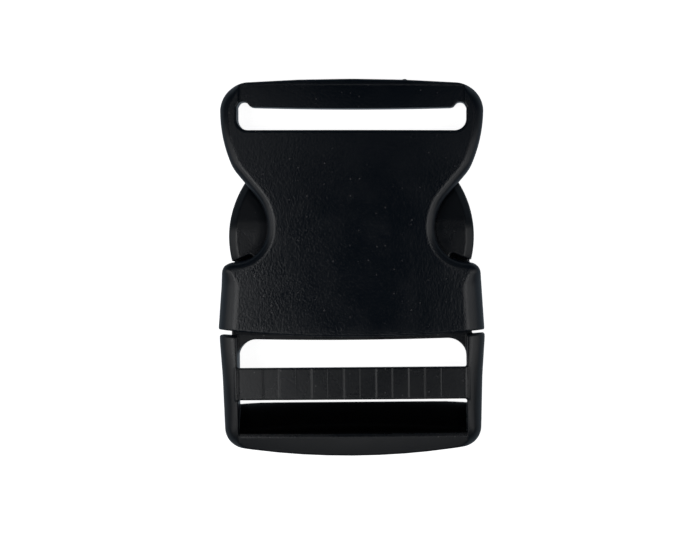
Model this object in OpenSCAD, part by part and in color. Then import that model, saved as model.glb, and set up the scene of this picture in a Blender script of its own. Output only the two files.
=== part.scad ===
// Side release buckle for webbing, fastened, lying on its back.
// Y runs from the adjustable end of the plug to the sewn end of the socket, Z up out of the front.
// The origin is at the middle of the outline, on the surface that the buckle lies on.

/* [Overall] */
// Length of the fastened buckle
buckle_len = 83.5; // [80:0.5:95]
// Length of the socket, from its strap bar to the middle of its rim
socket_len = 57.05; // [54:0.05:60]
// Thickness at the mouth
body_t = 12.6; // [12:0.1:16]
// Width of the webbing that it takes
webbing_w = 50; // [44:0.5:50]
// Free width of a webbing slot beyond the webbing
webbing_play = 0.8; // [0.2:0.1:1]
// Gap between the socket's rim and the plug's shoulders
shoulder_gap = 0.85; // [0.4:0.05:1.5]
// Step in from the socket's sides to the plug's shoulders
shoulder_step = 0.15; // [0:0.05:0.6]
// Radius of the curve that the rim follows in plan
rim_bow_r = 280; // [200:10:600]

/* [Socket outline] */
// Width of each side beyond the webbing slot, at the strap bar
strap_side_w = 3.95; // [3:0.05:5]
// Thickness at the strap bar's outer edge
strap_end_t = 7.2; // [6:0.1:9]
// Radius of the corners beside the strap bar
strap_corner_r = 6.4; // [4:0.1:8]
// Drop of the strap bar's outer edge between its middle and its corners
strap_end_bow = 1.15; // [0.4:0.05:2]
// Radius of that bowed edge
strap_end_r = 350; // [200:10:600]
// Radius of the sides between the corners and the flare
side_r = 31; // [20:1:40]
// Radius where the sides turn into the flare
flare_top_r = 10; // [6:0.5:14]
// Distance of that turn in from the strap end's sides
flare_top_in = 3.25; // [2:0.05:4.5]
// Height of that turn above the windows' lower rims
flare_top_rise = 20.6; // [19:0.1:22]
// Depth of the waist inside the ends of the webbing slot
waist_inset = 6.8; // [4:0.1:8]
// Radius of the waist on its upper side
waist_upper_r = 11; // [8:0.5:14]
// Radius of the waist where it turns into the windows' lower rims
waist_lower_r = 7.6; // [6:0.1:9]
// Angle between the lengthwise axis and the flare above the waist
flare_angle = 40; // [35:1:42]
// Depth of the mouth, from the rim to the windows' lower rims
mouth_depth = 16.4; // [15:0.1:18]
// Width of each side beyond the webbing slot, at the rim
mouth_side_w = 4.05; // [3.8:0.05:6]
// Taper of each side between the rim and the windows' lower rims
mouth_taper = 1; // [0:0.05:2]
// Radius of the mouth's corners in plan
mouth_corner_r = 2.5; // [2:0.1:3.5]
// Rounding of the edges along the waist and the strap end
edge_r = 2.2; // [1:0.1:2.5]
// Rounding of the edges along the mouth's sides
mouth_edge_r = 4.4; // [3:0.1:4.8]
// Height above the windows' lower rims where the front face begins to fall
fall_rise = 7; // [4:0.5:10]

/* [Socket slot and pocket] */
// Width of the strap bar
strap_bar_w = 6.4; // [5:0.1:7]
// Height of the webbing slot along the buckle
strap_slot_h = 5.05; // [4.5:0.05:6]
// Radius of the slot's lower corners
strap_slot_r = 2.9; // [1:0.1:3.5]
// Radius of the bow on the bar's inner side
bar_bow_r = 750; // [300:50:1500]
// Depth of that bow at the middle of the bar
bar_bow = 0.22; // [0.1:0.02:0.3]
// Radius of the relief notch at each end of the bar
notch_r = 1.25; // [0.8:0.05:1.6]
// Depth of the bar's front face below the side rails
bar_front_drop = 0.5; // [0.1:0.05:0.8]
// Depth of the bar's rear face inside the side rails
bar_rear_drop = 0.9; // [0.3:0.05:1.5]
// Solid web between the slot and the pocket
end_web = 8.3; // [7:0.1:10]
// Thickness of the front and rear panels
panel_t = 2.3; // [1.6:0.1:2.6]
// Thickness of the side walls at the rim
mouth_wall = 2.55; // [1.8:0.05:3]
// Distance of each latch stop in from the ends of the webbing slot
stop_inset = 3; // [2:0.1:4]
// Gap between each latch stop and the shoulder that rests on it
latch_gap = 0.35; // [0.2:0.05:0.8]

/* [Plug frame] */
// Taper of each rail between the shoulders and the lower corners
frame_taper = 1.25; // [0:0.05:2]
// Radius of the frame's lower corners
frame_corner_r = 4.9; // [4.2:0.1:7]
// Rise of the lower edge between its middle and its corners
frame_bow = 2.35; // [1:0.05:3]
// Radius of the lower edge's bow
frame_bow_r = 167; // [120:1:300]
// Thickness at the lower edge
frame_end_t = 7.4; // [6.5:0.1:9]
// Rounding of the rails' outer edges
rail_edge_r = 3.7; // [2:0.1:4.2]
// Step in from the ends of the strap slot to those of the plug's slots
plug_slot_step = 0.1; // [0:0.05:0.5]
// Height of the upper webbing slot along the buckle
upper_slot_h = 6.05; // [5:0.05:7]
// Radius of the upper slot's corners at the cross wall
upper_slot_r = 4.3; // [2:0.1:5]
// Width of the ribbed bar along the buckle
rib_bar_w = 7.1; // [6:0.05:8]
// Thickness of the ribbed bar
rib_bar_t = 6.2; // [5:0.1:7]
// Pitch of the steps along the ribbed bar
rib_pitch = 3.566; // [2.5:0.001:5]
// Number of lowered bands on each side of the bar's middle
rib_bands = 3; // [1:1:3]
// Depth of the lowered bands
rib_depth = 0.3; // [0.1:0.05:0.6]
// Gap seen between the ribbed bar and the lower bar
slit_h = 0.8; // [0.4:0.05:2]
// Length of the ramp on the lower bar
ramp_len = 7.2; // [5:0.1:8]
// Thickness of the lower bar at the foot of the ramp
ramp_foot_t = 1.4; // [0.8:0.1:2.5]

/* [Plug arms] */
// Play between the arms and the panels, on each side
arm_play = 0.3; // [0.2:0.05:0.6]
// Depth of the cross wall beyond the shoulders
cross_wall = 3.65; // [2.5:0.05:5]
// Play between the base of the plug and the mouth's side walls
base_play = 0.4; // [0.2:0.05:0.8]
// Width of each arm at its thinnest
arm_w = 2.8; // [2.2:0.1:3.2]
// Gap between the arms and the latch stops' inner sides
arm_gap = 0.7; // [0.4:0.1:1.5]
// Slope of the latch shoulders, in degrees
latch_angle = 21; // [15:1:35]
// Reach of each pad beyond the ends of the webbing slot
pad_reach = 1.7; // [0.5:0.1:3]
// Gap seen between each pad and its window's lower rim
pad_gap = 0.4; // [0.2:0.05:0.8]
// Depth of the pads' inner sides behind the edge of the waist
pad_cover = 1.8; // [1:0.1:3]
// Radius of the pads' outer sides
pad_r = 22.6; // [18:0.1:30]
// Length of each pad
pad_len = 19.4; // [17:0.1:19.5]
// Height of the pads' widest place above the windows' lower rims
pad_mid_rise = 5.8; // [4:0.1:8]
// Width of the bevel along the pads' outer edges, seen from the front
pad_chamfer = 1.6; // [0.5:0.1:2]
// Fall of that bevel for each millimetre of its width
pad_bevel_fall = 0.7; // [0.3:0.05:1]
// Width of the guide tongue
tongue_w = 7.2; // [5:0.1:9]
// Length of the guide tongue beyond the cross wall
tongue_len = 28; // [20:0.5:30]

/* [Hidden] */
plastic = "#1d1c1b";

// Fineness of the curves: degrees in a step of an arc, longest straight step, angles round an edge
arc_step = 9;
span_step = 4;
edge_angles = [0, 18, 36, 54, 72, 90];
$fn = 360;

// Length, and turn in degrees, below which a corner stays sharp
least_trim = 0.01;
least_turn = 0.1;

// Lean of straights that would otherwise be in line, and a bevel that only breaks an edge
lean = 0.1;
small_bevel = 0.6;

// Columns of an outline's rows: place, corner radius in plan, edge rounding
ROUND = 2;
EDGE = 3;

// Places along the buckle
top_y = buckle_len / 2;
low_y = -buckle_len / 2;
rim_y = top_y - socket_len;
slot_top_y = top_y - strap_bar_w;
slot_low_y = slot_top_y - strap_slot_h;
pocket_end_y = slot_low_y - end_web;
window_y = rim_y + mouth_depth;
shoulder_y = rim_y - shoulder_gap;
wall_low_y = shoulder_y + lean;
upper_slot_low_y = wall_low_y - upper_slot_h;
rib_low_y = upper_slot_low_y - rib_bar_w;
ramp_foot_y = rib_low_y - slit_h;
lip_y = ramp_foot_y - ramp_len;

// Places across it, all from the webbing
slot_half_w = (webbing_w + webbing_play) / 2;
plug_slot_half_w = slot_half_w - plug_slot_step;
strap_half_w = slot_half_w + strap_side_w;
mouth_half_w = slot_half_w + mouth_side_w;
mouth_top_half_w = mouth_half_w - mouth_taper;
frame_half_w = mouth_half_w - shoulder_step;
frame_low_half_w = frame_half_w - frame_taper;
waist_half_w = slot_half_w - waist_inset;
pocket_half_w = mouth_half_w - mouth_wall;
base_half_w = pocket_half_w - base_play;
stop_half_w = slot_half_w - stop_inset;
pad_half_w = slot_half_w + pad_reach;

// Heights
pocket_low_z = panel_t;
pocket_top_z = body_t - panel_t;
arm_low_z = pocket_low_z + arm_play;
arm_top_z = pocket_top_z - arm_play;

// Beyond any surface that a cut has to pass
past = 5;

// Height of the socket's front face: level over the mouth, then falling to the strap bar
socket_level_y = window_y + fall_rise;
function socket_top(y) = body_t - (body_t - strap_end_t) *
    pow(max(0, y - socket_level_y) / (top_y - socket_level_y), 2);

// Height of the frame's front face: level beside the upper slot, then falling to the lower edge
frame_level_run = 2;
frame_level_y = shoulder_y - frame_level_run;
function frame_top(y) = body_t - (body_t - frame_end_t) *
    pow(max(0, frame_level_y - y) / (frame_level_y - low_y), 2);

// Paths with rounded corners
function at(row) = [row.x, row.y];
function unit(v) = v / norm(v);
function aside(v) = [-v.y, v.x];
function turned(v, a) = [v.x * cos(a) - v.y * sin(a), v.x * sin(a) + v.y * cos(a)];
function heading(rows, i) = unit(at(rows[i + 1]) - at(rows[i]));
function run(rows, i) = norm(at(rows[i + 1]) - at(rows[i]));
function turn(rows, i) = acos(max(-1, min(1, heading(rows, i - 1) * heading(rows, i))));
function reach(rows, i) = i <= 0 || i >= len(rows) - 1 ? 0 : rows[i][ROUND] * tan(turn(rows, i) / 2);

// Length that a corner's arc takes from the straight beside it, shared where two arcs meet
arcs_share = 0.98;
function share(rows, i, side) = arcs_share * run(rows, side < 0 ? i - 1 : i) /
    (reach(rows, i) + reach(rows, i + side) + least_trim / 10);
function trim(rows, i) = reach(rows, i) * min(1, share(rows, i, -1), share(rows, i, 1));

function corner(rows, i) =
    let (t = trim(rows, i), a = turn(rows, i), edge = rows[i][EDGE])
    t < least_trim || a < least_turn ? [[rows[i].x, rows[i].y, edge]] :
    let (
        way = heading(rows, i - 1),
        side = sign(cross(way, heading(rows, i))),
        spoke = aside(way) * side * t / tan(a / 2),
        centre = at(rows[i]) - way * t + spoke,
        steps = ceil(max(a / arc_step, 2 * t / span_step))
    )
    [for (k = [0 : steps]) let (p = centre - turned(spoke, side * a * k / steps)) [p.x, p.y, edge]];

function spread(points) = concat(
    [for (i = [0 : len(points) - 2])
        let (steps = ceil(norm(at(points[i + 1]) - at(points[i])) / span_step))
        for (k = [0 : steps - 1]) points[i] + (points[i + 1] - points[i]) * k / steps],
    [points[len(points) - 1]]);

function path(rows) = [for (i = [1 : len(rows) - 2]) each corner(rows, i)];
function closed_path(rows) = path(concat([rows[len(rows) - 1]], rows, [rows[0]]));

// Inward normal at each point of a path that runs clockwise, with the points before and after it
function inward(before, after) = let (way = unit(at(after) - at(before))) [way.y, -way.x];

// Ring of a half outline and its mirror image, drawn in by the edge rounding at one angle
function flip(p) = [-p.x, p.y];
function half_ring(half, angle, top, front) = [for (i = [0 : len(half) - 1])
    let (
        last = len(half) - 1,
        before = i == 0 ? flip(half[0]) : half[i - 1],
        after = i == last ? flip(half[last]) : half[i + 1],
        edge = half[i].z,
        p = at(half[i]) + inward(before, after) * edge * (1 - cos(angle)),
        sunk = edge * (1 - sin(angle))
    )
    [p.x, p.y, front ? top(p.y) - sunk : sunk]];
function full_ring(half) = concat(half,
    [for (i = [len(half) - 1 : -1 : 0]) [-half[i].x, half[i].y, half[i].z]]);

// Skins through rings
function sides(count, rings) = [for (j = [0 : rings - 2], i = [0 : count - 1])
    let (a = j * count + i, b = j * count + (i + 1) % count)
    each [[a, b, b + count], [a, b + count, a + count]]];
function rungs(count, start, front) = [for (i = [0 : count / 2 - 2])
    let (q = [start + i, start + i + 1, start + count - 2 - i, start + count - 1 - i])
    front ? q : [q[3], q[2], q[1], q[0]]];

// Solid of a symmetrical outline with rounded edges, flat behind and with a curved front
module moulding(half, top) {
    count = 2 * len(half);
    back = [for (k = [len(edge_angles) - 1 : -1 : 0]) full_ring(half_ring(half, edge_angles[k], top, false))];
    front = [for (a = edge_angles) full_ring(half_ring(half, a, top, true))];
    rings = concat(back, front);
    polyhedron(
        [for (ring = rings) each ring],
        concat(
            rungs(count, 0, false),
            sides(count, len(rings)),
            rungs(count, count * (len(rings) - 1), true)
        )
    );
}

// Solid of a plan outline between two heights
module slab(low, high) {
    translate([0, 0, low]) linear_extrude(high - low) children();
}

// Solid of a side view, drawn as [y, z], across the buckle
module across(half_w) {
    rotate([90, 0, 90]) translate([0, 0, -half_w]) linear_extrude(2 * half_w) children();
}

// Disc whose edge is the rim's curve in plan, drawn out by a gap
module rim_disc(gap) {
    translate([0, rim_y + rim_bow_r]) circle(rim_bow_r + gap);
}

// Outline of the socket, as if its mouth went on past the rim
bow_share = 0.4;
side_bend_rise = 6.8;
edge_blend = 5.5;
rim_straight = 1.6;
flare_top = [strap_half_w - flare_top_in, window_y + flare_top_rise];
waist_y = flare_top.y - (flare_top.x - waist_half_w) / tan(flare_angle);
socket_rows = [
    [0, top_y, 0, edge_r],
    [bow_share * strap_half_w, top_y, strap_end_r, edge_r],
    [strap_half_w - lean, top_y - strap_end_bow, strap_corner_r, edge_r],
    [strap_half_w - 2 * lean, flare_top.y + side_bend_rise, side_r, edge_r],
    [flare_top.x, flare_top.y, flare_top_r, edge_r],
    [waist_half_w, waist_y, waist_upper_r, edge_r],
    [waist_half_w, window_y + lean, waist_lower_r, edge_r],
    [mouth_top_half_w, window_y - lean, mouth_corner_r, min(edge_r, mouth_corner_r - lean)],
    [mouth_top_half_w + mouth_taper * edge_blend / mouth_depth, window_y - edge_blend, 0, mouth_edge_r],
    [mouth_half_w, rim_y + rim_straight, 0, mouth_edge_r],
    [mouth_half_w, rim_y - past, 0, mouth_edge_r],
    [mouth_half_w / 2, rim_y - past - lean, 0, edge_r],
    [0, rim_y - past - 2 * lean, 0, edge_r]
];

// Strap slot, with a relief notch at each end of the bar
notch_set = 0.1;
slot_past_bar = 0.4;
module strap_slot() {
    difference() {
        polygon(slot_outline());
        // the bar's inner side bows into the slot
        translate([0, slot_top_y - bar_bow + bar_bow_r]) circle(bar_bow_r);
    }
    for (side = [-1, 1]) {
        translate([side * (slot_half_w - notch_r - notch_set), slot_top_y + notch_set / 2]) circle(notch_r);
    }
}

function slot_outline() =
    let (
        w = slot_half_w,
        rows = [
            [w, slot_top_y + slot_past_bar, 0, 0],
            [w, slot_low_y, strap_slot_r, 0],
            [-w, slot_low_y, strap_slot_r, 0],
            [-w, slot_top_y + slot_past_bar, 0, 0]
        ]
    )
    concat([at(rows[0])], [for (p = path(rows)) at(p)], [at(rows[3])]);

// Shallow steps on the faces of the strap bar, between the side rails
bar_lip = 1.2;
bar_step_in = 0.4;
bar_face_steps = 6;
module bar_steps() {
    inner = slot_top_y - past;
    outer = top_y - bar_lip;
    drop = bar_front_drop;
    front = [
        for (k = [0 : bar_face_steps])
        let (y = inner + (outer - inner) * k / bar_face_steps)
        [y, socket_top(y) - drop]
    ];
    across(slot_half_w - bar_step_in) {
        polygon(concat(front, [[outer + drop, socket_top(outer)], [outer + drop, body_t], [inner, body_t]]));
        polygon([
            [inner, -past],
            [inner, bar_rear_drop],
            [outer - bar_rear_drop, bar_rear_drop],
            [outer, 0],
            [outer, -past]
        ]);
    }
}

// Pad and arm of one side, worked out from the window that the pad stands in
pad_low_y = window_y + pad_gap;
pad_mid_y = window_y + pad_mid_rise;
pad_tip_y = pad_low_y + pad_len;
pad_centre_x = pad_half_w - pad_r;
pad_low_x = pad_centre_x + sqrt(pow(pad_r, 2) - pow(pad_mid_y - pad_low_y, 2));
pad_tip_x = pad_centre_x + sqrt(pow(pad_r, 2) - pow(pad_tip_y - pad_mid_y, 2));
pad_half_turn = (asin((pad_tip_y - pad_mid_y) / pad_r) + asin((pad_mid_y - pad_low_y) / pad_r)) / 2;
pad_mid_turn = asin((pad_tip_y - pad_mid_y) / pad_r) - pad_half_turn;
latch_slope = tan(latch_angle);
arm_outer_x = stop_half_w - arm_gap;
arm_inner_x = arm_outer_x - arm_w;
pad_inner_x = waist_half_w - pad_cover;
base_top_y = shoulder_y + cross_wall;
arm_root_in = 0.9;
arm_root_x = base_half_w - arm_root_in;
arm_root_flare = 0.6;
arm_sink = 1;
arm_bend_drop = 3.6;
arm_bend_r = 12;
pad_neck_rise = 4.5;
pad_neck_r = 6;
pad_slim = 0.4;
pad_slim_rise = 8;
pad_slim_r = 10;
pad_tip_w = 2.8;
pad_tip_r = 1.2;
latch_tip_r = 0.6;
latch_root_r = 0.8;
arm_rows = [
    [arm_root_x - arm_w - arm_root_flare, base_top_y - arm_sink, 0],
    [arm_inner_x, window_y - arm_bend_drop, arm_bend_r],
    [pad_inner_x, pad_low_y + pad_neck_rise, pad_neck_r],
    [pad_inner_x + pad_slim, pad_mid_y + pad_slim_rise, pad_slim_r],
    [pad_tip_x - pad_tip_w, pad_tip_y, pad_tip_r],
    [pad_tip_x, pad_tip_y, pad_tip_r],
    [
        pad_centre_x + pad_r / cos(pad_half_turn) * cos(pad_mid_turn),
        pad_mid_y + pad_r / cos(pad_half_turn) * sin(pad_mid_turn),
        pad_r
    ],
    [pad_low_x, pad_low_y, latch_tip_r],
    [arm_outer_x, pad_low_y + (pad_low_x - arm_outer_x) * latch_slope, latch_root_r],
    [arm_outer_x, window_y - arm_bend_drop, arm_bend_r],
    [arm_root_x, base_top_y - arm_sink, 0]
];

// Pocket of the socket in plan, one half: mouth, ramp, latch stop, window and end
tip_room = 0.5;
tip_room_low = 1.3;
tip_room_depth = 1.1;
pocket_end_r = 1.5;
stop_tip_r = 0.6;
stop_root_r = 8;
base_room = 1;
base_room_r = 3;
stop_x = pad_low_x;
stop_y = pad_low_y - latch_gap;
outside_x = 2 * mouth_half_w;
pocket_rows = [
    [0, pocket_end_y, 0, 0],
    [pad_tip_x + tip_room, pocket_end_y, pocket_end_r, 0],
    [pad_tip_x + tip_room_low, pad_tip_y - tip_room_depth, 0, 0],
    [outside_x, pad_tip_y - tip_room_depth, 0, 0],
    [outside_x, stop_y - (outside_x - stop_x) * latch_slope, 0, 0],
    [stop_half_w, stop_y + (stop_x - stop_half_w) * latch_slope, stop_tip_r, 0],
    [stop_half_w, window_y - arm_bend_drop, stop_root_r, 0],
    [pocket_half_w, base_top_y + base_room, base_room_r, 0],
    [pocket_half_w, rim_y - past, 0, 0],
    [0, rim_y - past, 0, 0]
];

module pocket_plan() {
    last = pocket_rows[len(pocket_rows) - 1];
    half = concat([at(pocket_rows[0])], [for (p = path(pocket_rows)) at(p)], [at(last)]);
    for (side = [0, 1]) {
        mirror([side, 0]) polygon(concat(half, [[-1, rim_y - past], [-1, pocket_end_y]]));
    }
}

module socket() {
    color(plastic) difference() {
        intersection() {
            moulding(spread(path(socket_rows)), function(y) socket_top(y));
            slab(-past, body_t + past) rim_disc(0);
        }
        slab(-past, body_t + past) strap_slot();
        slab(pocket_low_z, pocket_top_z) pocket_plan();
        bar_steps();
    }
}

// Outline of the plug's frame, as if it went on past its shoulders
rail_straight = 4;
frame_rows = [
    [0, rim_y + past, 0, edge_r],
    [frame_half_w / 2, rim_y + past - lean, 0, edge_r],
    [frame_half_w + 2 * lean, rim_y + past - 2 * lean, 0, rail_edge_r],
    [frame_half_w, shoulder_y, 0, rail_edge_r],
    [frame_low_half_w + frame_taper / 5, lip_y + rail_straight, 0, rail_edge_r],
    [frame_low_half_w, low_y + frame_bow, frame_corner_r, edge_r],
    [bow_share * frame_low_half_w, low_y, frame_bow_r, edge_r],
    [0, low_y, 0, edge_r]
];

// Rails and lower bar: the frame without its shoulders' surplus and without what is open between the rails
lip_bevel = 0.5;
lip_drop = 0.15;
module frame() {
    lip_z = frame_top(lip_y);
    difference() {
        moulding(spread(path(frame_rows)), function(y) frame_top(y));
        slab(-past, body_t + past) rim_disc(shoulder_gap);
        across(plug_slot_half_w) polygon([
            [ramp_foot_y, -past],
            [ramp_foot_y, ramp_foot_t],
            [lip_y + lip_bevel, lip_z - lip_drop - lip_bevel],
            [lip_y, lip_z - lip_drop],
            [lip_y - small_bevel, lip_z + past],
            [rim_y + 3 * past, lip_z + past],
            [rim_y + 3 * past, -past]
        ]);
    }
}

// Ribbed bar, with lowered bands across its front
rib_sink = 0.2;
rib_bevel = 1.2;
rib_overlap = 0.9;
module rib_bar() {
    low = rib_low_y;
    high = upper_slot_low_y;
    front = frame_top(high) - rib_sink;
    slant = frame_top(low) - rib_sink;
    back = front - rib_bar_t;
    difference() {
        across(plug_slot_half_w + rib_overlap) polygon([
            [high, back + rib_bevel],
            [high, front - small_bevel],
            [high - small_bevel, front],
            [low + rib_bevel, slant],
            [low, slant - rib_bevel],
            [low, back + small_bevel],
            [low + small_bevel, back],
            [high - rib_bevel, back]
        ]);
        for (side = [-1, 1], band = [0 : rib_bands - 1]) {
            translate([side * rib_pitch * (2 * band + 1), 0, 0]) across(rib_pitch / 2) polygon([
                [high + past, front - rib_depth],
                [high - small_bevel, front - rib_depth],
                [low + rib_bevel, slant - rib_depth],
                [low - rib_bevel, slant - rib_depth - 2 * rib_bevel],
                [low - rib_bevel, front + past],
                [high + past, front + past]
            ]);
        }
    }
}

// Cross wall between the rails, which goes into the mouth and carries the arms
wall_bow = 0.4;
wall_bow_r = 300;
module cross_wall_plan() {
    w = plug_slot_half_w;
    rows = [
        [w, upper_slot_low_y, 0, 0],
        [w, wall_low_y + wall_bow, upper_slot_r, 0],
        [0, wall_low_y, wall_bow_r, 0],
        [-w, wall_low_y + wall_bow, upper_slot_r, 0],
        [-w, upper_slot_low_y, 0, 0]
    ];
    under = concat([at(rows[0])], [for (p = path(rows)) at(p)], [at(rows[4])]);
    polygon(concat(
        under,
        [
            [-base_half_w, upper_slot_low_y],
            [-base_half_w, base_top_y],
            [base_half_w, base_top_y],
            [base_half_w, upper_slot_low_y]
        ]
    ));
}

module arm() {
    plan = [for (p = closed_path(arm_rows)) at(p)];
    difference() {
        slab(arm_low_z, arm_top_z) polygon(plan);
        pad_bevel(arm_top_z, 1);
        pad_bevel(arm_low_z, -1);
    }
}

// What the bevel round the pad's outer side takes from one face, looking up or down
bevel_start = -16;
bevel_sweep = 95;
module pad_bevel(face_z, way) {
    fall = (pad_chamfer + lean) * pad_bevel_fall;
    translate([pad_centre_x, pad_mid_y, face_z])
    rotate_extrude(angle = bevel_sweep, start = bevel_start) polygon([
        [pad_r - pad_chamfer, 0],
        [pad_r + lean, -way * fall],
        [pad_r + past, -way * fall],
        [pad_r + past, way],
        [pad_r - pad_chamfer, way]
    ]);
}

// Guide tongue between the arms, tapered at its tip
tongue_inset = 0.3;
tongue_taper = 5;
module tongue() {
    w = tongue_w / 2;
    tip = base_top_y + tongue_len;
    slab(arm_low_z + tongue_inset, arm_top_z - tongue_inset) polygon([
        [-w, base_top_y - arm_sink],
        [-w, tip - tongue_taper],
        [-w / 2, tip],
        [w / 2, tip],
        [w, tip - tongue_taper],
        [w, base_top_y - arm_sink]
    ]);
}

module plug() {
    color(plastic) union() {
        frame();
        rib_bar();
        slab(arm_low_z, arm_top_z) cross_wall_plan();
        arm();
        mirror([1, 0, 0]) arm();
        tongue();
    }
}

socket();
plug();
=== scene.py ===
"""Looks of a fastened side release buckle, lying on its back on a white table.

Lengths are in millimetres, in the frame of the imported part, until a mesh is made in metres.
Each half is a solid described by signed distances, negative inside, which are meshed on a grid.
"""
import functools
import math

import bpy
import numpy as np
import openvdb
from mathutils import Matrix, Vector


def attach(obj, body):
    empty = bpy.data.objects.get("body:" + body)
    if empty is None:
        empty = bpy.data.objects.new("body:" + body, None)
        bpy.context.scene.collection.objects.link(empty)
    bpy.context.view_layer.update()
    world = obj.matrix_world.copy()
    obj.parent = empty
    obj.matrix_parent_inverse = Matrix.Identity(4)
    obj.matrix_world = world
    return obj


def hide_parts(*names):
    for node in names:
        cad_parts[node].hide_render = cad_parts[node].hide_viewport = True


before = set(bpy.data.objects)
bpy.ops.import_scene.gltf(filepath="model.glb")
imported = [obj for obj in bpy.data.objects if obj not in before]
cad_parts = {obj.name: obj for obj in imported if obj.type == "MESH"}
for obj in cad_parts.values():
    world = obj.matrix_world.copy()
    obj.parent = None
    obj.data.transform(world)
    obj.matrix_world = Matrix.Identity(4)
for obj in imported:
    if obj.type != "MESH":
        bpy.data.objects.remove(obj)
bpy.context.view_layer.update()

MM = 0.001

# Sizes along the buckle
TOP_Y = 41.75
LOW_Y = -41.75
RIM_Y = -15.3
SLOT_TOP_Y = 35.35
SLOT_LOW_Y = 30.3
POCKET_END_Y = 22.0
WINDOW_Y = 1.1
SHOULDER_Y = -16.15
UPPER_SLOT_LOW_Y = -22.1
RIB_LOW_Y = -29.2
RAMP_FOOT_Y = -30.0
LIP_Y = -37.2
BASE_TOP_Y = -12.5

# Sizes across it
SLOT_HALF_W = 25.4
PLUG_SLOT_HALF_W = 25.3
STRAP_HALF_W = 29.35
MOUTH_HALF_W = 29.45
MOUTH_TOP_HALF_W = 28.45
FRAME_HALF_W = 29.3
FRAME_LOW_HALF_W = 28.3
WAIST_HALF_W = 18.6
POCKET_HALF_W = 26.9
BASE_HALF_W = 26.5
STOP_HALF_W = 22.4
PAD_HALF_W = 27.1

# Heights
BODY_T = 12.6
PANEL_T = 2.3
ARM_PLAY = 0.3
POCKET_LOW_Z = PANEL_T
POCKET_TOP_Z = BODY_T - PANEL_T
ARM_LOW_Z = POCKET_LOW_Z + ARM_PLAY
ARM_TOP_Z = POCKET_TOP_Z - ARM_PLAY

RIM_BOW_R = 280
CROWN_R = 270
RIM_EASE = 2.5
RIM_EASE_R = 20
SHOULDER_GAP = 0.85

# Edges of the two halves
SHARP_R = 0.12
EDGE_R = 2.2
END_EDGE_R = 0.5
MOUTH_EDGE_R = 4.4
RAIL_EDGE_R = 3.5


# Distances

def smooth(low, high, value):
    """Rises softly from 0 at low to 1 at high."""
    t = np.clip((value - low) / (high - low), 0, 1)
    return t * t * (3 - 2 * t)


def eased(value, width):
    """Value where it is positive, its start rounded over a width."""
    return np.where(value < width, np.maximum(0, value) ** 2 / (2 * width), value - width / 2)


def inside_all(*parts):
    """What lies in every part, its edges sharp."""
    return functools.reduce(np.maximum, parts)


def both(a, b, radius=0.0):
    """What lies in a and in b, its new edge rounded."""
    if radius <= 0:
        return np.maximum(a, b)
    over = np.hypot(np.maximum(a + radius, 0), np.maximum(b + radius, 0))
    return np.minimum(-radius, np.maximum(a, b)) + over


def either(a, b, radius=0.0):
    """What lies in a or in b, with a fillet where they meet."""
    return -both(-a, -b, radius)


def without(a, b, radius=0.0):
    """What lies in a and outside b, its new edge rounded."""
    return both(a, -b, radius)


def between(value, low, high):
    """Distance to the layer between two heights."""
    return np.maximum(low - value, value - high)


def rounded_corner(before, here, after, step):
    """Points of the arc in place of a corner, or the corner itself where it has no radius."""
    p = np.array(here[:2], float)
    way_in = p - before[:2]
    way_out = np.array(after[:2], float) - p
    run_in, run_out = np.hypot(*way_in), np.hypot(*way_out)
    way_in, way_out = way_in / run_in, way_out / run_out
    turn = math.acos(float(np.clip(way_in @ way_out, -1, 1)))
    if here[2] <= 0 or turn < math.radians(0.1):
        return [tuple(p)]
    most_trim = here[3] if len(here) > 3 else 0.49 * min(run_in, run_out)
    trim = min(here[2] * math.tan(turn / 2), most_trim)
    side = np.sign(way_in[0] * way_out[1] - way_in[1] * way_out[0])
    spoke = side * trim / math.tan(turn / 2) * np.array([-way_in[1], way_in[0]])
    centre = p - way_in * trim + spoke
    steps = max(2, math.ceil(math.degrees(turn) / step))
    arc = []
    for k in range(steps + 1):
        a = side * turn * k / steps
        c, s = math.cos(a), math.sin(a)
        arc.append((centre[0] - spoke[0] * c + spoke[1] * s, centre[1] - spoke[0] * s - spoke[1] * c))
    return arc


def rounded_path(rows, step=4.0):
    """Points of a path with rounded corners, its two ends left as they are.

    Each row gives x, y and a corner radius, and may give the most that the rounding takes off each side.
    """
    points = [rows[0][:2]]
    for before, here, after in zip(rows, rows[1:], rows[2:]):
        points += rounded_corner(before, here, after, step)
    points.append(rows[-1][:2])
    return points


def mirrored(half):
    """Closed outline from its right half, which runs from the middle line round to it again."""
    return list(half) + [(-x, y) for x, y in reversed(half)]


def outline_distance(points, x, y):
    """Signed distance from the grid x, y to a closed outline, negative inside it."""
    nearest = np.full(np.broadcast_shapes(x.shape, y.shape), 1e9)
    inside = np.zeros(nearest.shape, bool)
    for (ax, ay), (bx, by) in zip(points, list(points[1:]) + [points[0]]):
        ex, ey = bx - ax, by - ay
        length2 = ex * ex + ey * ey
        if length2 < 1e-12:
            continue
        px, py = x - ax, y - ay
        t = np.clip((px * ex + py * ey) / length2, 0, 1)
        nearest = np.minimum(nearest, (px - ex * t) ** 2 + (py - ey * t) ** 2)
        if ey:
            crosses = ((ay > y) != (by > y)) & (x < ax + ex * (y - ay) / ey)
            inside ^= crosses
    return np.where(inside, -1, 1) * np.sqrt(nearest)


def rounded_block(plan, z, low, high, radius):
    """Solid over a plan, between two heights, all its edges rounded."""
    side = plan + radius
    level = np.maximum(low - z, z - high) + radius
    over = np.hypot(np.maximum(side, 0), np.maximum(level, 0))
    return np.minimum(np.maximum(side, level), 0) + over - radius


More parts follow.
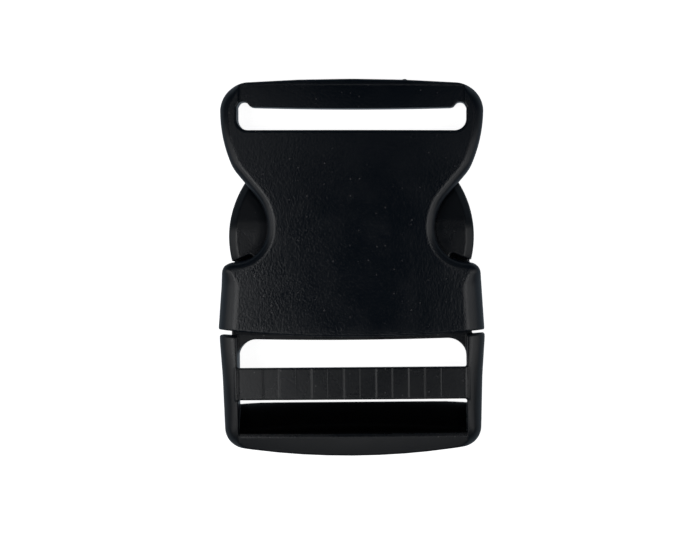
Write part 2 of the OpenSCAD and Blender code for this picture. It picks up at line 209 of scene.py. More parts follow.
class Grid:
    """Places of a box of grid points, to be combined by broadcasting."""

    def __init__(self, low, high, step):
        self.low = np.array(low, float)
        self.step = step
        counts = [int(math.ceil((b - a) / step)) + 1 for a, b in zip(low, high)]
        axes = [a + step * np.arange(n) for a, n in zip(low, counts)]
        self.x = axes[0][:, None]
        self.y = axes[1][None, :]
        self.z = axes[2][None, None, :]

    def tall(self, plan):
        """A plan's distances, ready to be combined with heights."""
        return plan[:, :, None]

    def profile(self, points, drop=None):
        """Distance to a side view, given as points of y and z, that runs across, its height less a drop."""
        if drop is None:
            return outline_distance(points, self.y[0][:, None], self.z[0, 0][None, :])[None, :, :]
        return outline_distance(points, self.tall(self.y), self.z + self.tall(drop))


# Heights of the front faces

SOCKET_END_T = 7.2
SOCKET_LEVEL_Y = WINDOW_Y + 7
FRAME_END_T = 7.4
FRAME_LEVEL_Y = SHOULDER_Y - 2


def socket_top(y):
    """Height of the socket's front: level over the mouth, then falling to the strap bar."""
    fall = np.maximum(0, y - SOCKET_LEVEL_Y) / (TOP_Y - SOCKET_LEVEL_Y)
    rim_fall = np.maximum(0, RIM_Y + RIM_EASE - y) ** 2 / (2 * RIM_EASE_R)
    return BODY_T - (BODY_T - SOCKET_END_T) * fall ** 2 - rim_fall


def frame_top(y):
    """Height of the frame's front: level beside the upper slot, then falling to the lower edge."""
    fall = np.maximum(0, FRAME_LEVEL_Y - y) / (FRAME_LEVEL_Y - LOW_Y)
    return BODY_T - (BODY_T - FRAME_END_T) * fall ** 2


def crown(x):
    """How far the front faces have fallen away from their middle line."""
    return x * x / (2 * CROWN_R)


def rim_distance(x, y, gap):
    """Distance outside the disc whose edge is the rim's curve, drawn out by a gap."""
    return np.hypot(x, y - RIM_Y - RIM_BOW_R) - RIM_BOW_R - gap


# Arms and pads, in plan

PAD_R = 22.6
PAD_LEN = 19.4
PAD_LOW_Y = WINDOW_Y + 0.4
PAD_MID_Y = WINDOW_Y + 5.8
PAD_TIP_Y = PAD_LOW_Y + PAD_LEN
PAD_CENTRE_X = PAD_HALF_W - PAD_R
PAD_LOW_X = PAD_CENTRE_X + math.sqrt(PAD_R ** 2 - (PAD_MID_Y - PAD_LOW_Y) ** 2)
PAD_TIP_X = PAD_CENTRE_X + math.sqrt(PAD_R ** 2 - (PAD_TIP_Y - PAD_MID_Y) ** 2)
LATCH_SLOPE = math.tan(math.radians(21))
LATCH_GAP = 0.35
PAD_TAPER_Y = 9.3
PAD_TAPER = 0.38
PAD_TAPER_SOFT = 3
PAD_LEAN = 0.07
PAD_DISH_W = 2.0
PAD_DISH = 0.16
PAD_BEVEL_W = 1.6
PAD_BEVEL_SLOPE = 0.7
PAD_CREST_SOFT = 0.5
PAD_BACK_SHARE = 0.2
NECK_DROP = 1.6
ARM_OUTER_X = STOP_HALF_W - 0.7
ARM_W = 2.8
ARM_ROOT_X = BASE_HALF_W - 0.9
PAD_INNER_X = WAIST_HALF_W - 1.8


def pad_taper(y):
    """How far the pads' front and back have come together towards their tips."""
    return PAD_TAPER * eased(y - PAD_TAPER_Y + PAD_TAPER_SOFT / 2, PAD_TAPER_SOFT)


def arm_plan():
    """Closed outline of the right arm with its pad."""
    upper = math.asin((PAD_TIP_Y - PAD_MID_Y) / PAD_R)
    lower = math.asin((PAD_MID_Y - PAD_LOW_Y) / PAD_R)
    arc = [
        (PAD_CENTRE_X + PAD_R * math.cos(a), PAD_MID_Y + PAD_R * math.sin(a))
        for a in np.linspace(upper, -lower, 24)
    ]
    inner = rounded_path([
        (ARM_ROOT_X - ARM_W - 0.6, BASE_TOP_Y - 1, 0),
        (ARM_OUTER_X - ARM_W, WINDOW_Y - 3.6, 12),
        (PAD_INNER_X, PAD_LOW_Y + 4.5, 6),
        (PAD_INNER_X + 0.4, PAD_MID_Y + 8, 10),
        (PAD_TIP_X - 2.8, PAD_TIP_Y, 1.2),
        (PAD_TIP_X - 0.4, PAD_TIP_Y, 0),
    ])
    latch = rounded_path([
        (PAD_LOW_X - 0.5, PAD_LOW_Y, 0),
        (ARM_OUTER_X, PAD_LOW_Y + (PAD_LOW_X - ARM_OUTER_X) * LATCH_SLOPE, 0.8),
        (ARM_OUTER_X, WINDOW_Y - 3.6, 12),
        (ARM_ROOT_X, BASE_TOP_Y - 1, 0),
    ])
    return inner + arc + latch


def pocket_plan():
    """Closed outline of the pocket: mouth, ramps, latch stops, windows and end."""
    stop_y = PAD_LOW_Y - LATCH_GAP
    far_x = 60
    half = rounded_path([
        (0, POCKET_END_Y, 0),
        (PAD_TIP_X + 0.5, POCKET_END_Y, 1.5),
        (PAD_TIP_X + 1.3, PAD_TIP_Y - 1.1, 0),
        (far_x, PAD_TIP_Y - 1.1, 0),
        (far_x, stop_y - (far_x - PAD_LOW_X) * LATCH_SLOPE, 0),
        (STOP_HALF_W, stop_y + (PAD_LOW_X - STOP_HALF_W) * LATCH_SLOPE, 0.6),
        (STOP_HALF_W, WINDOW_Y - 3.6, 8),
        (POCKET_HALF_W, BASE_TOP_Y + 1, 3),
        (POCKET_HALF_W, RIM_Y - 6, 0),
        (0, RIM_Y - 6, 0),
    ])
    return mirrored(half)


# Socket

RIM_EDGE_R = 0.3
BAR_EDGE_X = (27, 23.5)
SLOT_EDGE_R = 0.6
SLOT_CORNER_R = 2.9
SLOT_BOW_R = 750
SLOT_BOW_RISE = 0.22
NOTCH_R = 1.25
NOTCH_IN = 1.35
NOTCH_OUT_Y = 0.05
NOTCH_FLANK = [(24.6, 34.5), (24.6, 36.3), (23.5, 36.4), (22.1, 35.2), (21.9, 34.5)]
NOTCH_FILLET_R = 0.2
FLANK_FILLET_R = 0.4
POCKET_EDGE_R = 0.5
WINDOW_EDGE_R = 0.35
CEILING_SHARE = 0.8
WINDOW_LIP_LOW_Z = 0.4
WINDOW_LIP_EDGE_R = 0.6
WINDOW_LIP_FILLET_R = 0.3
RECESS_DEPTH = 0.5
RECESS_HALF_W = 24.85
RECESS_WALL_LEAN = 0.5
RECESS_RIM = 1.2
GATE_X = 11.7
GATE_Z = 3.4
GATE_HALF_W = 0.6
GATE_HALF_D = 0.33
GATE_MEAN_R = 0.3
GATE_SUNK = 0.2
GATE_FILLET_R = 0.15


def socket_plan():
    """Closed outline of the socket, its mouth drawn on past the rim."""
    flare_top = (STRAP_HALF_W - 3.25, WINDOW_Y + 20.6)
    waist_y = flare_top[1] - (flare_top[0] - WAIST_HALF_W) / math.tan(math.radians(40))
    half = rounded_path([
        (0, TOP_Y, 0),
        (0.4 * STRAP_HALF_W, TOP_Y, 350, 11.5),
        (STRAP_HALF_W - 0.1, TOP_Y - 1.15, 6.4, 6.0),
        (STRAP_HALF_W - 0.2, flare_top[1] + 6.8, 31, 6.6),
        (*flare_top, 10, 3.5),
        (WAIST_HALF_W, waist_y, 11),
        (WAIST_HALF_W, WINDOW_Y, 7.6, 7.6),
        (MOUTH_TOP_HALF_W, WINDOW_Y, 2.5),
        (MOUTH_HALF_W, RIM_Y + 1.6, 0),
        (MOUTH_HALF_W, RIM_Y - 6, 0),
        (0, RIM_Y - 6, 0),
    ], 3.0)
    return mirrored(half)


def window_lip_plan():
    """Closed outline of the rear panel's lip under the right pad, which closes the window's lower corner."""
    return [
        (17, 0.5),
        (17, 8.7),
        (18, 8.7),
        (19.4, 6.4),
        (21.4, 4.4),
        (26.15, 2.4),
        (26.15, 0.5),
    ]


def strap_slot_plan():
    """Closed outline of the webbing slot, without its notches."""
    bow_y = SLOT_TOP_Y - SLOT_BOW_RISE
    bow = [(x, bow_y + x * x / (2 * SLOT_BOW_R)) for x in np.linspace(-SLOT_HALF_W, SLOT_HALF_W, 25)]
    low = rounded_path([
        (SLOT_HALF_W, bow[-1][1], 0),
        (SLOT_HALF_W, SLOT_LOW_Y, SLOT_CORNER_R),
        (-SLOT_HALF_W, SLOT_LOW_Y, SLOT_CORNER_R),
        (-SLOT_HALF_W, bow[0][1], 0),
    ], 6.0)
    return bow + low


def socket_shell(grid):
    """Distances to the socket's outer form: rounded more at the mouth, and less at the strap bar's end."""
    x, y, tall = grid.x, grid.y, grid.tall
    plan = outline_distance(socket_plan(), x, y)
    mouth = smooth(WINDOW_Y - 0.5, WINDOW_Y - 6, y) + 0 * x
    at_end = smooth(*BAR_EDGE_X, np.abs(x)) * smooth(SLOT_TOP_Y - 1, SLOT_TOP_Y + 2, y)
    edge = EDGE_R + (MOUTH_EDGE_R - EDGE_R) * mouth - (EDGE_R - END_EDGE_R) * at_end
    body = rounded_block(tall(plan), grid.z, 0, tall(socket_top(y) - crown(x)), tall(edge))
    return both(body, tall(rim_distance(x, y, 0)), RIM_EDGE_R)


def strap_slot(x, y):
    """Distance in plan to the webbing slot, with a round notch and its flank at each end of the bar."""
    slot = outline_distance(strap_slot_plan(), x, y)
    notch = np.hypot(np.abs(x) - SLOT_HALF_W + NOTCH_IN, y - SLOT_TOP_Y - NOTCH_OUT_Y) - NOTCH_R
    flank = outline_distance(NOTCH_FLANK, np.abs(x), y)
    return either(either(slot, notch, NOTCH_FILLET_R), flank, FLANK_FILLET_R)


def pocket(grid):
    """Distances to the pocket, whose ceiling comes down over the pads' tips."""
    plan = outline_distance(pocket_plan(), grid.x, grid.y)
    ceiling = POCKET_TOP_Z - grid.tall(CEILING_SHARE * pad_taper(grid.y) + 0 * grid.x)
    return both(grid.tall(plan), np.maximum(POCKET_LOW_Z - grid.z, grid.z - ceiling), POCKET_EDGE_R)


def window_lip(grid):
    """Distances to the rear panel's lips under both pads."""
    plan = outline_distance(window_lip_plan(), np.abs(grid.x), grid.y)
    return rounded_block(grid.tall(plan), grid.z, WINDOW_LIP_LOW_Z, PANEL_T, WINDOW_LIP_EDGE_R)


def strap_bar_recess(grid):
    """Distances to the shallow recess along the strap bar, with leaning walls at its ends."""
    x, y, tall = grid.x, grid.y, grid.tall
    floor = tall(socket_top(y) - RECESS_DEPTH - crown(x))
    walls = tall(np.abs(x) - RECESS_HALF_W + 0 * y) - RECESS_WALL_LEAN * (grid.z - floor)
    along = tall(np.maximum(SLOT_TOP_Y - 3 - y, y - TOP_Y + RECESS_RIM) + 0 * x)
    return inside_all(walls, along, floor - grid.z)


def gate_mark(grid):
    """Distances to the small bulge that the mould's gate left on the strap bar's end."""
    across = (grid.x - GATE_X) / GATE_HALF_W
    along = (grid.y - TOP_Y + GATE_SUNK) / GATE_HALF_D
    up = (grid.z - GATE_Z) / GATE_HALF_W
    return (np.sqrt(grid.tall(across ** 2 + along ** 2) + up ** 2) - 1) * GATE_MEAN_R


def socket_field(grid):
    """Distances to the socket."""
    body = without(socket_shell(grid), grid.tall(strap_slot(grid.x, grid.y)), SLOT_EDGE_R)
    body = without(body, pocket(grid), WINDOW_EDGE_R)
    body = either(body, window_lip(grid), WINDOW_LIP_FILLET_R)
    body = without(body, strap_bar_recess(grid), SHARP_R)
    return either(body, gate_mark(grid), GATE_FILLET_R)


# Plug

PLUG_TURN = 0.45
PLUG_PIVOT_Y = 8.0
LOW_EDGE_X = (26.5, 23)
SHOULDER_EDGE_R = 0.6
OPENING_EDGE_R = 0.8
RAIL_INNER_EDGE_R = 0.3
RAMP_LOW_Z = 1.4
BAR_FACE_DROP = 0.35
SLOT_TOP_CORNER = 4.3
SLOT_TOP_BOW = 0.4
RIB_BAR_T = 6.2
RIB_BAR_IN_RAIL = 0.4
RIB_BAR_FILLET_R = 0.5
RIB_EDGE_R = 0.3
RIB_HIGH_BEVEL = 1.2
RIB_LOW_BEVEL = 0.8
RIB_PITCH = 3.566
RIB_BANDS = 3
RIB_DEPTH = 0.12
RIB_STEP_W = 0.36
WALL_LEAN = 0.12
TONGUE_HALF_W = 3.6
TONGUE_TIP_Y = 15.5
TONGUE_TAPER_Y = 10.5
TONGUE_TAPER = 0.36
TONGUE_PLAY = 0.3
TONGUE_EDGE_R = 0.4
ARM_EDGE_R = 0.35
ARM_FILLET_R = 0.6
MOUTH_FILLET_R = 0.3

# Share of a height that is left as distance where the pads' faces slant
SLANT_SHARE = 0.85


def frame_plan():
    """Closed outline of the plug's frame, drawn on past its shoulders."""
    half = rounded_path([
        (0, RIM_Y + 6, 0),
        (FRAME_HALF_W + 0.2, RIM_Y + 6, 0),
        (FRAME_HALF_W, SHOULDER_Y, 0),
        (FRAME_HALF_W - 0.55, -24, 60),
        (FRAME_LOW_HALF_W + 0.2, LIP_Y + 4, 0),
        (FRAME_LOW_HALF_W, LOW_Y + 2.3, 4.6, 4.4),
        (0.4 * FRAME_LOW_HALF_W, LOW_Y, 167, 11.0),
        (0, LOW_Y, 0),
    ], 2.0)
    return mirrored(half)


def frame_shell(grid):
    """Distances to the frame's outer form: rounded more along the rails, and less along the lower end."""
    x, y, tall = grid.x, grid.y, grid.tall
    plan = outline_distance(frame_plan(), x, y)
    at_rail = smooth(LIP_Y - 4, LIP_Y + 7, y)
    at_end = smooth(*LOW_EDGE_X, np.abs(x)) * (1 - at_rail)
    edge = EDGE_R + (RAIL_EDGE_R - EDGE_R) * at_rail - (EDGE_R - END_EDGE_R) * at_end
    body = rounded_block(tall(plan), grid.z, 0, tall(frame_top(y) - crown(x)), tall(edge))
    return without(body, tall(rim_distance(x, y, SHOULDER_GAP)), SHOULDER_EDGE_R)


def frame_opening(grid):
    """Distances to a side view of the frame's opening, which ends at the lower bar's ramp."""
    lip_z = frame_top(LIP_Y)
    slope = (lip_z - RAMP_LOW_Z) / (RAMP_FOOT_Y - LIP_Y)
    past = 6
    high = lip_z + past * slope
    return grid.profile([
        (RAMP_FOOT_Y, -past),
        (RAMP_FOOT_Y, RAMP_LOW_Z),
        (LIP_Y - past, high),
        (RIM_Y + 20, high),
        (RIM_Y + 20, -past),
    ], crown(grid.x))


def frame_body(grid):
    """Distances to the frame: two rails and the lower bar, whose front lies a little lower."""
    x, y, tall = grid.x, grid.y, grid.tall
    rails = tall(np.abs(x) - PLUG_SLOT_HALF_W + 0 * y)
    bar_face = tall(frame_top(y) - BAR_FACE_DROP - crown(x)) - grid.z
    body = without(frame_shell(grid), inside_all(rails, bar_face, tall(y - LIP_Y - 2 + 0 * x)), SHARP_R)
    ramped = without(body, frame_opening(grid), OPENING_EDGE_R)
    return either(ramped, without(body, rails, RAIL_INNER_EDGE_R))


def rib_bar(grid):
    """Distances to the ribbed bar, with lowered bands across its front."""
    high, low = UPPER_SLOT_LOW_Y, RIB_LOW_Y
    front, slant = frame_top(high), frame_top(low)
    back = front - RIB_BAR_T
    r = RIB_EDGE_R
    blank = grid.profile([
        (high - r, back + RIB_HIGH_BEVEL),
        (high - r, front),
        (low + r, slant),
        (low + r, back + RIB_LOW_BEVEL),
        (low + RIB_LOW_BEVEL, back + r),
        (high - RIB_HIGH_BEVEL, back + r),
    ]) - r
    pitches = np.abs(grid.x) / RIB_PITCH
    from_band = np.abs((pitches - 1) % 2 - 1) * RIB_PITCH
    from_band = np.where(pitches < 2 * RIB_BANDS, RIB_PITCH - from_band, RIB_PITCH)
    share = smooth(RIB_PITCH / 2 + RIB_STEP_W / 2, RIB_PITCH / 2 - RIB_STEP_W / 2, from_band)
    slope = (front - slant) / (high - low)
    face = front + slope * (grid.y - high) - crown(grid.x) - RIB_DEPTH * share
    bar = both(blank, grid.z - grid.tall(face), r)
    return both(bar, grid.tall(np.abs(grid.x) - PLUG_SLOT_HALF_W - RIB_BAR_IN_RAIL + 0 * grid.y))


def upper_slot(x, y):
    """Distance in plan to the upper slot, whose upper end is bowed and has rounded corners."""
    top = SHOULDER_Y + 0.1 + SLOT_TOP_BOW * (x / PLUG_SLOT_HALF_W) ** 2
    across = np.abs(x) - PLUG_SLOT_HALF_W + SLOT_TOP_CORNER
    along = y - top + SLOT_TOP_CORNER
    over = np.hypot(np.maximum(across, 0), np.maximum(along, 0))
    return over + np.minimum(np.maximum(across, along), 0) - SLOT_TOP_CORNER


def cross_wall(grid):
    """Distances to the wall that closes the mouth, its front leaning back below the rim."""
    x, y, z, tall = grid.x, grid.y, grid.z, grid.tall
    plan = inside_all(np.abs(x) - BASE_HALF_W, between(y, UPPER_SLOT_LOW_Y, BASE_TOP_Y), -upper_slot(x, y))
    top = ARM_TOP_Z - WALL_LEAN * tall(np.maximum(0, RIM_Y + 0.5 - y) + 0 * x)
    return both(tall(plan), np.maximum(ARM_LOW_Z - z, z - top), SHARP_R)


def arms(grid):
    """Distances to both arms: bevelled, leaning and tapering pads, dished beside the socket's panel."""
    x, y, z, tall = np.abs(grid.x), grid.y, grid.z, grid.tall
    plan = outline_distance(arm_plan(), x, y + 0 * x)
    on_pad = smooth(PAD_LOW_Y - 1, PAD_LOW_Y, y)
    past_crest = np.hypot(x - PAD_CENTRE_X, y - PAD_MID_Y) - PAD_R + PAD_BEVEL_W
    bevel = PAD_BEVEL_SLOPE * eased(past_crest + PAD_CREST_SOFT / 2, PAD_CREST_SOFT) * on_pad
    lean = PAD_LEAN * np.maximum(0, x - PAD_INNER_X) * on_pad
    neck = NECK_DROP * smooth(PAD_LOW_Y + 0.1, PAD_LOW_Y - 0.5, y) * smooth(WAIST_HALF_W, WAIST_HALF_W + 1, x)
    fall = bevel + pad_taper(y) + lean + neck
    past_panel = outline_distance(socket_plan(), grid.x, y)
    dish = PAD_DISH * np.clip(1 - past_panel / PAD_DISH_W, 0, 1) ** 2 * on_pad
    under = ARM_LOW_Z + tall(PAD_BACK_SHARE * fall) - z
    over = z - ARM_TOP_Z + tall(fall + dish)
    return both(tall(plan), np.maximum(under, over) * SLANT_SHARE, ARM_EDGE_R)


def tongue(grid):
    """Distances to the guide tongue between the arms."""
    x, y = np.abs(grid.x), grid.y
    plan = x - TONGUE_HALF_W + TONGUE_TAPER * np.maximum(0, y - TONGUE_TAPER_Y)
    plan = np.maximum(plan, between(y, BASE_TOP_Y - 1, TONGUE_TIP_Y))
    level = between(grid.z, ARM_LOW_Z + TONGUE_PLAY, ARM_TOP_Z - TONGUE_PLAY)
    return both(grid.tall(plan), level, TONGUE_EDGE_R)


def plug_field(grid):
    """Distances to the plug."""
    body = either(frame_body(grid), rib_bar(grid), RIB_BAR_FILLET_R)
    inner = either(cross_wall(grid), arms(grid), ARM_FILLET_R)
    inner = either(inner, tongue(grid), ARM_FILLET_R)
    return either(body, inner, MOUTH_FILLET_R)


# Meshes

def sample(field, grid, points):
    """Value of a field between its grid points, and its slope there."""
    place = np.clip((points - grid.low) / grid.step, 0, np.array(field.shape) - 1.001)
    base = place.astype(int)
    part = place - base
    value = np.zeros(len(points))
    slope = np.zeros((len(points), 3))
    for corner in range(8):
        offset = np.array([corner >> 2 & 1, corner >> 1 & 1, corner & 1])
        weights = np.where(offset, part, 1 - part)
        at_corner = field[tuple((base + offset).T)]
        value += weights.prod(axis=1) * at_corner
        for axis in range(3):
            others = [a for a in range(3) if a != axis]
            sign = 1 if offset[axis] else -1
            slope[:, axis] += sign * weights[:, others].prod(axis=1) * at_corner
    return value, slope / grid.step


def settled(field, grid, points, rounds=3):
    """Points moved onto the surface of a field."""
    for _ in range(rounds):
        value, slope = sample(field, grid, points)
        steepness = np.maximum((slope ** 2).sum(axis=1), 0.25)
        points = points - slope * (value / steepness)[:, None]
    return points


def surface(name, field, grid):
    """Object with a mesh of triangles along the surface of a field."""
    volume = openvdb.FloatGrid(10.0)
    volume.copyFromArray(np.clip(field, -3 * grid.step, 3 * grid.step).astype(np.float32))
    points, triangles, quads = volume.convertToPolygons(0.0, 0.0)
    points = grid.low + grid.step * points.astype(float)
    faces = np.concatenate([quads[:, [0, 1, 2]], quads[:, [0, 2, 3]], triangles]).astype(int)
    mesh = bpy.data.meshes.new(name)
    mesh.from_pydata((points * MM).tolist(), [], faces.tolist())
    body = bpy.data.objects.new(name, mesh)
    bpy.context.collection.objects.link(body)
    return body


def thin_out(body, most_triangles):
    """Thins out a mesh that has more triangles than that."""
    count = len(body.data.polygons)
    if count > most_triangles:
        thin = body.modifiers.new("thin", "DECIMATE")
        thin.ratio = most_triangles / count
        bpy.context.view_layer.objects.active = body
        bpy.ops.object.modifier_apply(modifier=thin.name)


def vertex_places(mesh):
    """Places of a mesh's vertices in metres, one to a row."""
    flat = np.empty(3 * len(mesh.vertices))
    mesh.vertices.foreach_get("co", flat)
    return flat.reshape(-1, 3)


def turn_outwards(mesh):
    """Turns the faces outwards where they enclose a negative volume."""
    corners = np.empty(3 * len(mesh.polygons), int)
    mesh.polygons.foreach_get("vertices", corners)
    places = vertex_places(mesh)
    a, b, c = (places[corners.reshape(-1, 3)[:, k]] for k in range(3))
    if (a * np.cross(b, c)).sum() < 0:
        mesh.flip_normals()


def settle(mesh, field, grid):
    """Moves a mesh onto the surface of a field and gives it the field's own normals."""
    points = settled(field, grid, vertex_places(mesh) / MM)
    mesh.vertices.foreach_set("co", (points * MM).ravel())
    mesh.update()
    _, slope = sample(field, grid, points)
    length = np.maximum(np.linalg.norm(slope, axis=1, keepdims=True), 1e-6)
    turn_outwards(mesh)
    mesh.shade_smooth()
    mesh.normals_split_custom_set_from_vertices((slope / length).tolist())


# Materials

SOCKET_BASE = (0.0015, 0.004, 0.008)
SOCKET_ROUGHNESS = 0.23
SOCKET_GRAIN_MM = 0.1
PLUG_BASE = (0.002, 0.0035, 0.006)
PLUG_ROUGHNESS = 0.28
PLUG_GRAIN_MM = 0.045
# Ramp colour: darker than the plug's plastic, painted shade of the deep trough behind the lower bar's lip;
# its low roughness is the real polish
RAMP_PAINTED_SHADE_BASE = (0.0005, 0.0005, 0.0005)
RAMP_ROUGHNESS = 0.15
DUST = (0.07, 0.07, 0.073)
LEVEL_FACING = (0.9, 0.985)
EDGE_ROUGHNESS = 0.33
WORN_ROUGHNESS = 0.03
COARSE_GRAIN = 2000
FINE_GRAIN = 4800
FINE_SHARE = 0.4
GRAIN_STRENGTH = 0.6
WEAR = 140
WEAR_RANGE = (0.35, 0.7)
SPECK_CELLS = 520
SPECK_EDGE = (0.05, 0.12)
SPECK_BARE_SHARE = 0.8


def noise(nodes, links, place, scale, detail):
    """Soft noise over the solid, in features of a size given as so many to a metre."""
    texture = nodes.new("ShaderNodeTexNoise")
    texture.inputs["Scale"].default_value = scale
    texture.inputs["Detail"].default_value = detail
    links.new(place.outputs["Object"], texture.inputs["Vector"])
    return texture.outputs["Fac"]


def remap(nodes, links, value, low, high, out_low, out_high):
    """Maps a value's range softly onto another."""
    node = nodes.new("ShaderNodeMapRange")
    node.interpolation_type = "SMOOTHSTEP"
    node.inputs["From Min"].default_value = low
    node.inputs["From Max"].default_value = high
    node.inputs["To Min"].default_value = out_low
    node.inputs["To Max"].default_value = out_high
    links.new(value, node.inputs["Value"])
    return node.outputs["Result"]


def combine(nodes, links, kind, a, b):
    """Two values put together by a sum, a product or the like."""
    node = nodes.new("ShaderNodeMath")
    node.operation = kind
    for socket, value in zip(node.inputs, (a, b)):
        if isinstance(value, (int, float)):
            socket.default_value = value
        else:
            links.new(value, socket)
    return node.outputs["Value"]


def level_share(nodes, links, place):
    """1 on the level faces, which are grained, and 0 on rounded edges and side walls."""
    facing = nodes.new("ShaderNodeSeparateXYZ")
    links.new(place.outputs["Normal"], facing.inputs["Vector"])
    level = combine(nodes, links, "ABSOLUTE", facing.outputs["Z"], 0)
    return remap(nodes, links, level, *LEVEL_FACING, 0, 1)


def grain(nodes, links, place, on_face, depth_mm):
    """Normals of a spark-eroded grain of a depth, on the level faces alone."""
    coarse = noise(nodes, links, place, COARSE_GRAIN, 3)
    fine = noise(nodes, links, place, FINE_GRAIN, 1)
    height = combine(nodes, links, "ADD", coarse, combine(nodes, links, "MULTIPLY", fine, FINE_SHARE))
    height = combine(nodes, links, "MULTIPLY", height, on_face)
    bump = nodes.new("ShaderNodeBump")
    bump.inputs["Strength"].default_value = GRAIN_STRENGTH
    bump.inputs["Distance"].default_value = depth_mm * MM
    links.new(height, bump.inputs["Height"])
    return bump.outputs["Normal"]


def specks(nodes, links, place, on_face):
    """1 in a few specks of dust on the level faces, and 0 elsewhere."""
    dots = nodes.new("ShaderNodeTexVoronoi")
    dots.voronoi_dimensions = "2D"
    dots.inputs["Scale"].default_value = SPECK_CELLS
    links.new(place.outputs["Object"], dots.inputs["Vector"])
    chance = nodes.new("ShaderNodeSeparateColor")
    links.new(dots.outputs["Color"], chance.inputs["Color"])
    speck = remap(nodes, links, dots.outputs["Distance"], *SPECK_EDGE, 1, 0)
    rare = remap(nodes, links, chance.outputs["Red"], SPECK_BARE_SHARE, 1, 0, 1)
    speck = combine(nodes, links, "MULTIPLY", speck, rare)
    return combine(nodes, links, "MULTIPLY", speck, on_face)


def new_material(name):
    """Material with a plain shader, and that shader."""
    material = bpy.data.materials.new(name)
    material.use_nodes = True
    return material, material.node_tree.nodes["Principled BSDF"]


def plastic(name, base, roughness, grain_mm):
    """Black moulded plastic: grained faces, smooth rounded edges, light wear and a few specks of dust."""
    material, shader = new_material(name)
    nodes, links = material.node_tree.nodes, material.node_tree.links
    place = nodes.new("ShaderNodeTexCoord")
    on_face = level_share(nodes, links, place)

    links.new(grain(nodes, links, place, on_face, grain_mm), shader.inputs["Normal"])
    patches = noise(nodes, links, place, WEAR, 3)
    worn = remap(nodes, links, patches, *WEAR_RANGE, -WORN_ROUGHNESS, WORN_ROUGHNESS)
    matte = remap(nodes, links, on_face, 0, 1, EDGE_ROUGHNESS, roughness)
    links.new(combine(nodes, links, "ADD", matte, worn), shader.inputs["Roughness"])

    tint = nodes.new("ShaderNodeMix")
    tint.data_type = "RGBA"
    tint.inputs["A"].default_value = (*base, 1)
    tint.inputs["B"].default_value = (*DUST, 1)
    links.new(specks(nodes, links, place, on_face), tint.inputs["Factor"])
    links.new(tint.outputs["Result"], shader.inputs["Base Color"])
    return material


def polished(name, base, roughness):
    """Smooth black plastic, as the mould's polished steel leaves it, in the base colour given; on the ramp
    this colour is darker than the plug's, as painted shade.
    """
    material, shader = new_material(name)
    shader.inputs["Base Color"].default_value = (*base, 1)
    shader.inputs["Roughness"].default_value = roughness
    return material


# Halves

STEP = 0.2
MOST_TRIANGLES = 190000
GRID_HALF_W = 30.5
GRID_PAST_Y = 1.5
GRID_PAST_Z = 1.0
RAMP_FACING = 0.35


def make_half(name, field, low_y, high_y):
    """Object with the surface of one half, in a grid with a margin round it."""
    low = (-GRID_HALF_W, low_y - GRID_PAST_Y, -GRID_PAST_Z)
    high = (GRID_HALF_W, high_y + GRID_PAST_Y, BODY_T + GRID_PAST_Z)
    grid = Grid(low, high, STEP)
    distances = field(grid)
    body = surface(name, distances, grid)
    thin_out(body, MOST_TRIANGLES)
    settle(body.data, distances, grid)
    return body


def polish_and_shade_ramp(mesh):
    """Gives the faces of the ramp the second material: polished, and darker in colour as painted shade of the
    trough.
    """
    for face in mesh.polygons:
        x, y, _ = face.center / MM
        on_ramp = LIP_Y - 0.3 < y < RAMP_FOOT_Y + 0.2 and abs(x) < PLUG_SLOT_HALF_W
        if on_ramp and face.normal.y > RAMP_FACING:
            face.material_index = 1


def turn_plug(mesh):
    """Turns the plug by its play in the socket, as it lies in the photo."""
    pivot = Matrix.Translation((0, PLUG_PIVOT_Y * MM, 0))
    mesh.transform(pivot @ Matrix.Rotation(math.radians(PLUG_TURN), 4, "Z") @ pivot.inverted())


def make_socket():
    body = make_half("socket_shell", socket_field, RIM_Y, TOP_Y)
    look = plastic("socket_plastic_look", SOCKET_BASE, SOCKET_ROUGHNESS, SOCKET_GRAIN_MM)
    body.data.materials.append(look)
    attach(body, "root")
    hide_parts("socket")


def make_plug():
    body = make_half("plug_shell", plug_field, LOW_Y, PAD_TIP_Y)
    look = plastic("plug_plastic_look", PLUG_BASE, PLUG_ROUGHNESS, PLUG_GRAIN_MM)
    body.data.materials.append(look)
    # Polished ramp, its darker base colour painted shade
    body.data.materials.append(polished("ramp_polish_and_painted_shade", RAMP_PAINTED_SHADE_BASE, RAMP_ROUGHNESS))
    polish_and_shade_ramp(body.data)
    turn_plug(body.data)
    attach(body, "root")
    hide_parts("plug")


# Stage

FLOOR_HALF_M = 2.0
FLOOR_WHITE = 0.9
FLOOR_ROUGHNESS = 0.9
SOFTBOX_AWAY_M = 0.5
SOFTBOX_SIZE_M = 0.22
ABOVE_GLOW = 0.02
BELOW_GLOW = 0.28
HORIZON = (-0.1, 0.1)
GLOW_TINT = (0.75, 0.88, 1, 1)

# Name, degrees from overhead, degrees round from the right, and watts of each softbox
SOFTBOXES = [
    ("left", 32, 180, 0.24),
    ("left_low", 52, 180, 0.14),
    ("left_side", 74, 180, 0.1),
    ("left_front", 34, 222, 0.2),
    ("left_front_low", 58, 212, 0.1),
    ("left_back", 35, 128, 0.05),
    ("front", 35, 270, 0.07),
    ("front_low", 48, 270, 0.04),
    ("right", 33, 0, 0.17),
    ("right_low", 52, 0, 0.12),
    ("right_side", 74, 0, 0.09),
    ("right_front", 38, 318, 0.12),
    ("right_front_low", 58, 328, 0.1),
    ("right_back", 36, 50, 0.03),
]


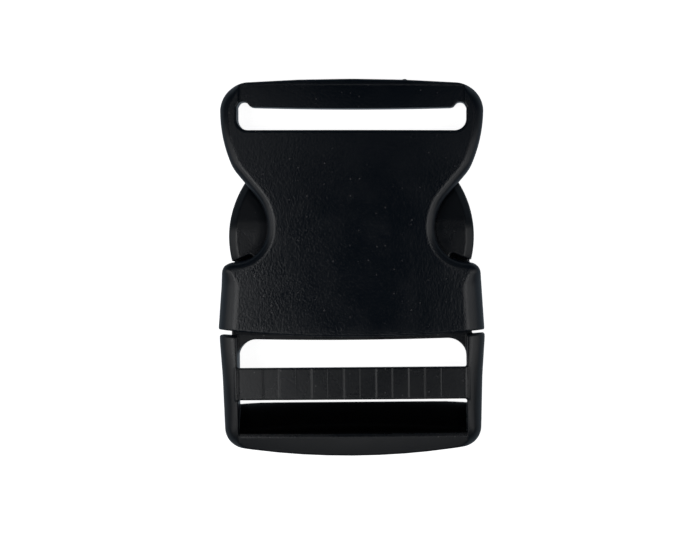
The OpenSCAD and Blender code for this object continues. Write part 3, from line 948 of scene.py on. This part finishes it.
def make_floor():
    """White table, kept out of the plastic's mirror reflections, which would brighten its steep edges."""
    mesh = bpy.data.meshes.new("floor")
    w = FLOOR_HALF_M
    mesh.from_pydata([(-w, -w, 0), (w, -w, 0), (w, w, 0), (-w, w, 0)], [], [(0, 1, 2, 3)])
    floor = bpy.data.objects.new("floor", mesh)
    bpy.context.collection.objects.link(floor)
    material, shader = new_material("floor")
    shader.inputs["Base Color"].default_value = (FLOOR_WHITE, FLOOR_WHITE, FLOOR_WHITE, 1)
    shader.inputs["Roughness"].default_value = FLOOR_ROUGHNESS
    shader.inputs["Emission Color"].default_value = (1, 1, 1, 1)
    shader.inputs["Emission Strength"].default_value = FLOOR_WHITE
    mesh.materials.append(material)
    floor.visible_glossy = False


def softbox(name, zenith, azimuth, power):
    """Square softbox in a direction given in degrees, down from overhead and round from the right."""
    data = bpy.data.lights.new(name, "AREA")
    data.shape = "SQUARE"
    data.size = SOFTBOX_SIZE_M
    data.energy = power
    lamp = bpy.data.objects.new(name, data)
    z, a = math.radians(zenith), math.radians(azimuth)
    way = Vector((math.sin(z) * math.cos(a), math.sin(z) * math.sin(a), math.cos(z)))
    lamp.location = SOFTBOX_AWAY_M * way
    lamp.rotation_euler = (-lamp.location).to_track_quat("-Z", "Y").to_euler()
    bpy.context.collection.objects.link(lamp)


def make_world():
    """Near darkness above the table, and a dim grey below it for the steep sides to reflect."""
    world = bpy.data.worlds.new("world")
    world.use_nodes = True
    nodes, links = world.node_tree.nodes, world.node_tree.links
    place = nodes.new("ShaderNodeTexCoord")
    parts = nodes.new("ShaderNodeSeparateXYZ")
    links.new(place.outputs["Generated"], parts.inputs["Vector"])
    glow = remap(nodes, links, parts.outputs["Z"], *HORIZON, BELOW_GLOW, ABOVE_GLOW)
    nodes["Background"].inputs["Color"].default_value = GLOW_TINT
    links.new(glow, nodes["Background"].inputs["Strength"])
    return world


def make_lights():
    """Softboxes all round but overhead, strongest on the left and weakest at the back."""
    for row in SOFTBOXES:
        softbox(*row)
    bpy.context.scene.world = make_world()
    bpy.context.scene.view_settings.view_transform = "Standard"


# Camera

PICTURE = (700, 544)
PX_PER_MM = 4.5
ORIGIN_PX = (351.9, 267.2)
CAMERA_MM = (25, 0, 850)
SENSOR_MM = 36.0
FOCAL_Z = 4.0


def make_camera():
    """Looks straight down from a place a little right of the buckle, with the frame shifted back."""
    data = bpy.data.cameras.new("camera")
    data.sensor_width = SENSOR_MM
    height = CAMERA_MM[2] - FOCAL_Z
    field = PICTURE[0] / PX_PER_MM
    data.lens = SENSOR_MM * height / field
    middle_x = (PICTURE[0] / 2 - ORIGIN_PX[0]) / PX_PER_MM
    middle_y = (ORIGIN_PX[1] - PICTURE[1] / 2) / PX_PER_MM
    data.shift_x = (middle_x - CAMERA_MM[0]) / field
    data.shift_y = (middle_y - CAMERA_MM[1]) / field
    data.clip_start = 0.05
    camera = bpy.data.objects.new("camera", data)
    camera.location = Vector(CAMERA_MM) * MM
    bpy.context.collection.objects.link(camera)
    bpy.context.scene.camera = camera


make_camera()
make_socket()
make_plug()
make_floor()
make_lights()
